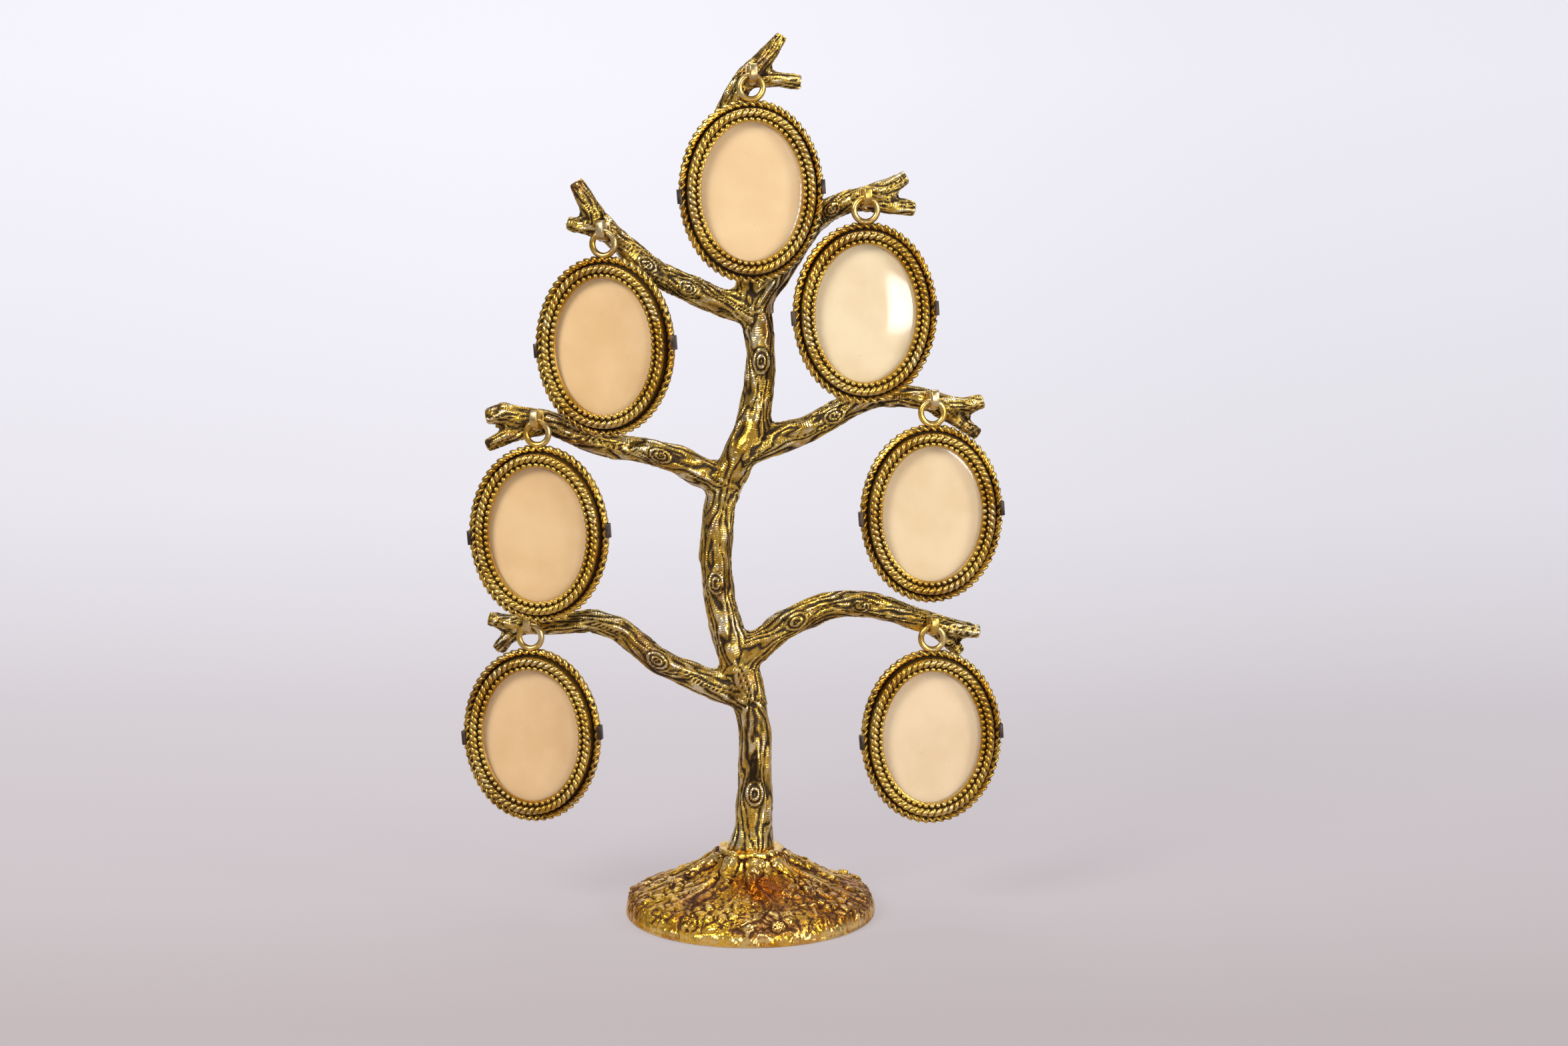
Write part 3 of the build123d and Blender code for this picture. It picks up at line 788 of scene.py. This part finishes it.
plate = join("plate", [plate, tab(1), tab(-1)])
pick(plate)
bpy.ops.object.shade_smooth_by_angle(angle=radians(35))
plate_turn = Matrix.Rotation(radians(4), 4, "Z")
hang(plate, hangers, "steel_back", "back_plate", dark_steel, plate_turn)
bpy.data.objects.remove(plate)
paint(frame["nodes"]["base_screw"], dark_steel)

# %% [markdown]
# ## Strip hooks
# Each hook is a flat strip bent into a U. A rectangle, the strip's section, is extruded down the
# rear leg, spun half round the bend and extruded up the front leg, which leans back to its tip.

# %% Bend the strip
strip_width, strip_thickness = 2.3, 1.2
bend_radius, bend_height, rear_leg = 1.9, 0.58, 3.0
front_leg = [(1.6, -0.1), (1.0, -0.35), (0.3, -0.35)]  # up and forward
bpy.ops.mesh.primitive_plane_add(size=mm)
hook = bpy.context.object
hook.name = "hook"
bpy.ops.object.mode_set(mode="EDIT")
bpy.ops.transform.resize(value=(strip_width, strip_thickness, 1))
bpy.ops.transform.rotate(value=pi / 2, orient_axis="X", center_override=(0, 0, 0))
bpy.ops.transform.translate(value=(0, rear_leg * mm, -(bend_radius + strip_thickness / 2) * mm))
extrude(0, bend_height - rear_leg, 0)
bpy.ops.mesh.spin(
    steps=10, angle=pi, center=(0, bend_height * mm, 0), axis=(1, 0, 0), dupli=False,
)
for up, forward in front_leg:
    extrude(0, up, forward)
finish_shell(hook)
soft = hook.modifiers.new("soft", "BEVEL")
soft.width = 0.25 * mm
soft.segments = 3
soft.limit_method = "ANGLE"
soft.angle_limit = radians(50)
settle(hook)
bpy.ops.object.shade_smooth_by_angle(angle=radians(40))
find_recesses(hook, 1.5)
hang(hook, hangers, "strip_hook", "hook", hook_gold)
bpy.data.objects.remove(hook)

# %% [markdown]
# ## Limbs
# The casting's bark is long ropes of wood that run along each limb. To cut them, each point of the
# tree needs coordinates of its own limb: across, forward and along it. So each limb has a line
# through its middle, with stations about a millimetre apart, and a point belongs to the nearest.

# %% Follow the limbs
# The middle line of each limb: across, back and up, in millimetres
limb_lines = {
    "trunk": [
        (0, 0, 10), (1, 0, 30), (1, 0, 57), (-1, 0, 71), (-6, 0, 84), (-10, 0, 102), (-10, 0, 120),
        (-5, 0, 137), (1, 0, 149), (3, 0, 171), (1, 0, 191), (-3, -1, 212), (-7, -2, 228),
        (-7, -3, 242), (0, -5, 252), (4, -5, 256), (10, -5, 264),
    ],
    "top_twig": [(-2, -5, 250), (6, -5, 251), (15, -4, 250)],
    "left_upper": [
        (1, 0, 181), (-6, -1, 185), (-20, -3, 191), (-34, -6, 201), (-42, -6, 206), (-51, -7, 222),
    ],
    "left_upper_twig": [(-40, -7, 206), (-53, -6, 210)],
    "right_upper": [
        (1, 0, 183), (7, -1, 193), (13, -1, 202), (18, -2, 209), (28, -5, 215), (34, -7, 217),
        (46, -7, 223),
    ],
    "right_upper_twig": [(32, -8, 216), (49, -7, 214)],
    "left_middle": [
        (-5, 0, 131), (-15, 0, 135), (-31, -1, 142), (-48, -3, 146), (-62, -6, 151), (-78, -5, 153),
    ],
    "left_middle_twig": [(-61, -6, 150), (-78, -4, 143)],
    "left_lower": [
        (1, 0, 65), (-9, 0, 70), (-27, 0, 78), (-40, 0, 88), (-55, -1, 90), (-79, 0, 91),
    ],
    "left_lower_twig": [(-68, 0, 90), (-77, 2, 81)],
    "right_middle": [
        (-2, 0, 140), (9, 0, 146), (24, -2, 152), (38, -4, 159), (50, -5, 158), (69, -5, 157),
    ],
    "right_middle_twig": [(55, -6, 156), (68, -4, 147)],
    "right_lower": [
        (-5, 0, 76), (3, 0, 83), (16, -1, 92), (30, -2, 96), (45, -3, 94), (60, -4, 89), (69, -3, 88),
    ],
    "right_lower_twig": [(55, -4, 90), (63, -2, 81)],
}


def even_stations(line, spread=9):
    """Smoothed stations about a millimetre apart on a line, with ways and lengths run."""
    line = np.array(line, dtype=float)
    lengths = np.append(0, np.cumsum(np.linalg.norm(np.diff(line, axis=0), axis=1)))
    runs = np.arange(0, lengths[-1], 1.0)
    places = np.stack([np.interp(runs, lengths, values) for values in line.T], axis=1)
    padded = np.pad(places, ((spread // 2, spread // 2), (0, 0)), mode="edge")
    places = np.mean([padded[shift : shift + len(runs)] for shift in range(spread)], axis=0)
    ways = np.gradient(places, axis=0)
    return places, ways / np.linalg.norm(ways, axis=1)[:, None], runs


limbs = [even_stations(line) for line in limb_lines.values()]
stations = np.concatenate([places for places, ways, runs in limbs])
station_ways = np.concatenate([ways for places, ways, runs in limbs])
limb_gap = 300  # between the lengths run on two limbs, so that each limb has bark of its own
starts = [limb_gap * index for index in range(len(limbs))]
station_runs = np.concatenate([runs + start for start, (_, _, runs) in zip(starts, limbs)])
finder = KDTree(len(stations))
for index, station in enumerate(stations):
    finder.insert(Vector(station), index)
finder.balance()


def nearest_stations(points):
    """The number of the nearest station, for each of some points."""
    return np.array([finder.find(Vector(point))[1] for point in points])


def limb_coordinates(points):
    """Millimetres across, forward and along the nearest limb, for each of some points."""
    nearest = nearest_stations(points)
    offset = points - stations[nearest]
    way = station_ways[nearest]
    along = (offset * way).sum(axis=1)
    offset -= along[:, None] * way
    forward = np.array((0.0, -1.0, 0.0)) + way * way[:, 1:2]
    forward /= np.linalg.norm(forward, axis=1)[:, None]
    across = np.cross(forward, way)
    parts = ((offset * across).sum(axis=1), (offset * forward).sum(axis=1), station_runs[nearest] + along)
    return np.stack(parts, axis=1)


print("limbs:", len(limbs), "stations:", len(stations))

# %% [markdown]
# ## An even copy
# Bark can only be worked into a mesh whose faces are small and all alike. A voxel remesh of a copy
# gives that, and smoothing takes off its steps. Growing the copy and shrinking it again fills the
# sharp forks. Then each point can be moved along its normal, as far as smooth noise says.


# %% Copy the tree evenly
def even_copy(node, name, voxel, softening, closing=0):
    """A copy of a CAD node, remeshed evenly and softened. Closing (mm) fills its sharp forks."""
    piece = bpy.data.objects.new(name, frame["nodes"][node].data.copy())
    bpy.context.scene.collection.objects.link(piece)
    face_outwards(piece)
    for swell in (closing, -closing) if closing else (0,):
        piece.data.remesh_voxel_size = voxel * mm
        bpy.ops.object.voxel_remesh()
        soft = piece.modifiers.new("soft", "SMOOTH")
        soft.factor = 0.5
        soft.iterations = softening
        if swell:
            grow = piece.modifiers.new("grow", "DISPLACE")
            grow.strength = swell * mm
            grow.mid_level = 0
        settle(piece)
    bpy.ops.object.voxel_remesh()
    print(name, "faces:", len(piece.data.polygons))
    return piece


def read_points(piece):
    """A piece's points and normals, in millimetres."""
    points = np.empty(len(piece.data.vertices) * 3)
    normals = np.empty_like(points)
    piece.data.vertices.foreach_get("co", points)
    piece.data.vertex_normals.foreach_get("vector", normals)
    return points.reshape(-1, 3) / mm, normals.reshape(-1, 3)


def drawn_noise(coordinates, grain, seed):
    """Smooth noise at each of some points, with its own grain (mm) in each direction."""
    scaled = coordinates / np.array(grain) + seed
    return np.array([noise.noise(Vector(point)) for point in scaled])


def rise_between(value, low, high):
    """0 under low, 1 over high, and smooth between."""
    share = np.clip((value - low) / (high - low), 0, 1)
    return share * share * (3 - 2 * share)


def ridges(values, crack):
    """1 on the ridges of a noise, with a rounded crack down to 0 wherever it changes its sign."""
    return np.minimum(np.abs(values) / crack, 1) ** 0.7


def move_points(piece, points):
    """Puts a piece's points, given in millimetres, back into its mesh."""
    piece.data.vertices.foreach_set("co", (points * mm).ravel())
    piece.data.update()


def dress(piece, node, finish):
    """Puts a worked copy, in its finish, in the place of its CAD node."""
    pick(piece)
    bpy.ops.object.shade_smooth()
    paint(piece, finish)
    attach(piece, "tree_stand")
    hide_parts(node)


tree_copy = even_copy("tree", "tree_bark", voxel=0.54, softening=7, closing=1.1)
# The branches run into the trunk, so the forks are smoothed further than the rest
fork_core, fork_edge = 7, 12
fork_places = []
for name, line in limb_lines.items():
    if name != "trunk" and not name.endswith("twig"):
        fork_places.append((np.array(line[0]) + np.array(line[1])) / 2)
fork_group = tree_copy.vertex_groups.new(name="forks")
points, normals = read_points(tree_copy)
away = np.min([np.linalg.norm(points - place, axis=1) for place in fork_places], axis=0)
for index, weight in enumerate(1 - rise_between(away, fork_core, fork_edge)):
    if weight > 0:
        fork_group.add([index], float(weight), "REPLACE")
soft = tree_copy.modifiers.new("soft", "SMOOTH")
soft.vertex_group = "forks"
soft.iterations = 60
settle(tree_copy)
tree_copy.vertex_groups.clear()
print("forks smoothed:", len(fork_places))

# %% [markdown]
# ## Knots
# Where a twig was cut off, the wood has closed round the wound in rings. A knot is an oval on the
# front of its limb, and its rings are a wave that runs outwards. The limb's coordinates are drawn
# apart round it, so that the ropes of bark pass it on both sides and close again behind it.

# %% Ring the knots
# Each knot, seen from the front: across, up, half its width and half its length, in millimetres
knots = [
    (1.3, 38.4, 2.7, 4.1), (-10.2, 102.6, 2.3, 3.6), (3.5, 169, 2.5, 4.0), (-28, 79, 2.2, 3.7),
    (-26.6, 141, 2.1, 3.6), (-30.4, 198, 2.0, 3.2), (-18.6, 191, 1.8, 2.9), (25, 214, 1.8, 2.8),
    (25.4, 153, 2.1, 3.5), (14, 91.2, 2.5, 3.9), (33.2, 95.9, 1.8, 2.8),
]
points, normals = read_points(tree_copy)
limb = limb_coordinates(points)
knot_rise = np.zeros(len(points))
knot_mask = np.zeros(len(points))
# Knots lie on the front of a limb. Rings and reach are shares of a knot's own half sizes.
knot_front, front_from, far_away = -4.0, 0.5, 9.0
outer_ring, ring_pitch, knot_edge = 0.86, 0.43, (0.95, 1.25)
ring_depth, ring_lift = 0.3, 0.15
parting, parting_reach = 0.7, 1.3
for across, up, half_across, half_along in knots:
    middle = limb_coordinates(np.array([(across, knot_front, up)]))[0]
    away = np.hypot((limb[:, 0] - middle[0]) / half_across, (limb[:, 2] - middle[2]) / half_along)
    away[limb[:, 1] < front_from] = far_away
    limb[:, 0] -= (limb[:, 0] - middle[0]) * parting * np.exp(-((away / parting_reach) ** 2))
    mask = 1 - rise_between(away, *knot_edge)
    rings = ring_depth * np.cos(2 * pi * (away - outer_ring) / ring_pitch) + ring_lift
    knot_rise = np.where(mask > knot_mask, rings, knot_rise)
    knot_mask = np.maximum(knot_mask, mask)
print("points on knots:", int((knot_mask > 0).sum()))

# %% [markdown]
# ## Bark
# The strands of bark are a wave that goes round the limb, a fixed number of times. Noise that is
# drawn out along the limb makes them sway, so they lean and merge, and a finer noise lays fibres on
# them. The bark is flat where a hook lies on it, and the furrows count as recesses for the wash and
# its painted shade.

# %% Cut the furrows
strand_count, sway_length, wide_sway, tight_sway = 13, 15, 2.0, 0.7
turn = np.arctan2(limb[:, 0], limb[:, 1])
round_place = np.stack([np.cos(turn), np.sin(turn), limb[:, 2] / sway_length], axis=1)
sway = drawn_noise(round_place, (1, 1, 1), 3.7) * wide_sway
sway += drawn_noise(round_place, (0.45, 0.45, 0.4), 7.9) * tight_sway
strand = turn / (2 * pi) * strand_count + sway
merge = drawn_noise(round_place, (0.3, 0.3, 0.8), 15.1)
roundness = 0.55 + 0.3 * merge
rope_rise = np.abs(np.sin(pi * strand)) ** roundness
swayed = np.stack([limb[:, 0] + sway, limb[:, 1] - sway, limb[:, 2]], axis=1)
fibre_rise = ridges(drawn_noise(swayed, (0.9, 0.9, 5), 27.1), 0.22)
lumps = drawn_noise(limb, (3.5, 3.5, 7), 41.9)
furrow_floor, rope_height, rope_change, fibre_height, lump_height = -0.62, 0.66, 0.3, 0.15, 0.4
bark = furrow_floor + (rope_height + rope_change * merge) * rope_rise
bark += fibre_height * fibre_rise
bark += lump_height * lumps
# The spigot below the collar and the cut ends of the twigs have no bark
collar_top, cut_end = (19.5, 21.5), (0.75, 0.95)
end_facing = np.abs((normals * station_ways[nearest_stations(points)]).sum(axis=1))
barked = rise_between(points[:, 2], *collar_top) * (1 - rise_between(end_facing, *cut_end))
height = (bark * (1 - knot_mask) + knot_rise * knot_mask) * barked
points += normals * height[:, None]
# Where a hook's rear leg lies, the bark is flat, so nothing of it stands through the strip
seat_back, seat_reach, seat_half_width, seat_half_length = 2.9, 3.4, 1.9, 6
for place in hangers.values():
    to_hook = np.array(place["hook"].inverted())
    local = points @ to_hook[:3, :3].T + to_hook[:3, 3] / mm
    seated = (np.abs(local[:, 0]) < seat_half_width) & (np.abs(local[:, 1]) < seat_half_length)
    seated &= (local[:, 2] > -seat_back) & (local[:, 2] < seat_reach)
    excess = np.where(seated, local[:, 2] + seat_back, 0)
    points -= excess[:, None] * to_hook[2, :3]
move_points(tree_copy, points)
# Furrows, fibre gaps and knot rings get painted shade as well as wash
furrow_shade, fibre_shade, ring_shade, ring_low = 0.55, 0.16, 1.5, 0.2
hollows = (furrow_shade * (1 - rope_rise) + fibre_shade * (1 - fibre_rise)) * (1 - knot_mask)
hollows += np.clip(ring_low - knot_rise, 0, 1) * ring_shade * knot_mask
find_recesses(tree_copy, 1.5, 12, hollows * barked)
grain = tree_copy.data.attributes.new("bark", "FLOAT_VECTOR", "POINT")
grain.data.foreach_set("vector", np.stack([strand, limb[:, 1], limb[:, 2]], axis=1).ravel())
dress(tree_copy, "tree", tree_gold)
print("furrow depth:", round(float(height.min()), 2), "to", round(float(height.max()), 2), "mm")

# %% [markdown]
# ## Roots
# The base is a mound of roots and rubble. Its copy is remeshed finely. The larger roots can be told
# apart in the photograph, so they follow lines of their own, from the collar outwards, where they
# split and grow thin. A point rises by how near it is to such a line, seen from above.

# %% Lay the roots
base_copy = even_copy("base", "base_ground", voxel=0.4, softening=8)
points, normals = read_points(base_copy)
# The roots that stand out at the front and sides, seen from above, in millimetres
root_lines = [
    [(0, -9), (-1, -16), (-3, -22), (-8, -29), (-10, -34)],
    [(-1, -16), (0, -24), (-1, -30), (1, -35)],
    [(-3, -22), (-4, -29), (-4, -35)],
    [(-6, -8), (-13, -15), (-19, -19), (-25, -25)],
    [(-13, -15), (-22, -16), (-32, -15)],
    [(7, -7), (13, -13), (18, -21), (20, -29)],
    [(9, -4), (18, -7), (26, -10), (35, -11)],
    [(13, -13), (22, -15), (30, -19)],
    [(-9, -3), (-19, -4), (-28, -3), (-36, -5)],
    [(9, 3), (20, 5), (35, 6)],
    [(5, 8), (12, 18), (17, 31)],
    [(-5, 8), (-11, 18), (-18, 30)],
    [(-9, 3), (-20, 8), (-33, 14)],
]
roots = [even_stations(line, 7) for line in root_lines]
root_stations = np.concatenate([places for places, ways, runs in roots])
root_shares = np.concatenate([runs / runs[-1] for places, ways, runs in roots])
root_finder = KDTree(len(root_stations))
for index, station in enumerate(root_stations):
    root_finder.insert(Vector((*station, 0)), index)
root_finder.balance()
root_girth, root_taper, root_flatness = 1.5, 0.7, 0.75
root_rise = np.zeros(len(points))
for index, (across, along, up) in enumerate(points):
    found = root_finder.find(Vector((across, along, 0)))
    girth = root_girth - root_taper * root_shares[found[1]]
    root_rise[index] = max(0, 1 - (found[2] / girth) ** 2) ** 0.5 * girth * root_flatness
print("roots:", len(roots), "highest:", round(float(root_rise.max()), 2), "mm")

# %% [markdown]
# ## Rubble
# Between the roots lie lumps like leaves and stones. Each is a cell of a Voronoi pattern, with a
# height and a tilt of its own and a crack round it. Creases run outwards like spokes between them.

# %% Scatter the rubble
radius = np.hypot(points[:, 0], points[:, 1])
least_radius = 0.001
round_way = points[:, :2] / np.maximum(radius, least_radius)[:, None]
# Noise on these coordinates changes fast round the mound and slowly outwards
spoke_share, outward_share, twist_reach = 9, 0.11, 0.8
spoke = np.concatenate([round_way * spoke_share, radius[:, None] * outward_share], axis=1)
twist = drawn_noise(points, (6, 6, 6), 5.5)[:, None] * twist_reach
crease_rise = ridges(drawn_noise(spoke + twist, (1, 1, 1), 2.2), 0.25)
lump_rise = np.zeros(len(points))
lump_size, lump_crack = 3.1, 0.28
lowest_lump, lump_spread, lump_tilt = 0.15, 0.85, 0.8
shake = drawn_noise(points, (1.3, 1.3, 1.3), 31.3)[:, None] * np.array((0.7, -0.5, 0.6))
for index, point in enumerate(points):
    near, seeds = noise.voronoi(Vector(point + shake[index]) / lump_size)
    share = abs(noise.cell(seeds[0] * 7.7))
    tilt = (seeds[0].x * 7.3 % 1 - 0.5) * (point[0] / lump_size - seeds[0].x)
    crust = min(1, (near[1] - near[0]) / lump_crack) ** 0.6
    lump_rise[index] = crust * (lowest_lump + lump_spread * share + lump_tilt * tilt)
clusters = rise_between(drawn_noise(points, (9, 9, 9), 8.8), -0.15, 0.15)
print("highest lump:", round(float(lump_rise.max()), 2))

# %% [markdown]
# ## The ground at the foot
# The mound takes whichever is higher, a root or the rubble. Its collar flares into it and has flutes,
# and its rim stays a bright band with a faint grain. The socket and the underside are not worked.

# %% Work the mound
# Where the collar ends outwards, where the rim ends upwards, and where the work starts
collar_end, rim_end, work_height, work_radius = (11.0, 15.0), (2.8, 4.6), (0.6, 1.4), (6.5, 8.0)
rim_line = points[:, 2] + 0.8 * drawn_noise(points, (4, 4, 4), 4.4)
collar = 1 - rise_between(radius, *collar_end)
rim = 1 - rise_between(rim_line, *rim_end)
upper = rise_between(points[:, 2], *work_height) * rise_between(radius, *work_radius)
between = (1 - collar) * (1 - rim)
rubble_height, crease_height, ground_drop = 1.5, 0.35, 0.4
ground = between * (0.3 + 0.7 * clusters) * lump_rise * rubble_height
ground = np.maximum(ground, between * root_rise)
ground += between * (crease_height * crease_rise - ground_drop)
# A fillet fills the corner between the collar's wall and the mound, so that it flares
fillet_radius, fillet_up, fillet_spread, fillet_height = 9.8, 17.4, 3.6, 1.6
corner = (radius - fillet_radius) ** 2 + (points[:, 2] - fillet_up) ** 2
fillet = np.exp(-corner / fillet_spread)
flute_height, collar_swell = 0.5, 0.5
flute_rise = ridges(drawn_noise(spoke, (3.4, 3.4, 2.0), 6.1), 0.3)
swell = drawn_noise(points, (3, 3, 3), 9.4)
ground += collar * (flute_height * flute_rise + collar_swell * swell + fillet_height * fillet)
grit_height, rim_wave, rim_grain = 0.12, 0.35, 0.3
ground += grit_height * drawn_noise(points, (0.8, 0.8, 0.8), 12.5) * (1 - 0.7 * rim)
waves = drawn_noise(points, (4, 4, 8), 1.5)
streaks = drawn_noise(points, (1.1, 1.1, 4), 7.5)
ground += rim * (rim_wave * waves + rim_grain * streaks)
move_points(base_copy, points + normals * (ground * upper)[:, None])
# The wash and its painted shade lie low between the roots and in the flutes
low_shade, flute_shade, ridge_light = 0.3, 0.2, 0.35
hollows = between * low_shade * (1 - np.minimum(ground + ground_drop, 1))
hollows += collar * (flute_shade - ridge_light * flute_rise)
find_recesses(base_copy, 2.0, 12, np.clip(hollows, -0.15, 1) * upper)
dress(base_copy, "base", base_gold)
print("mound points:", len(points))
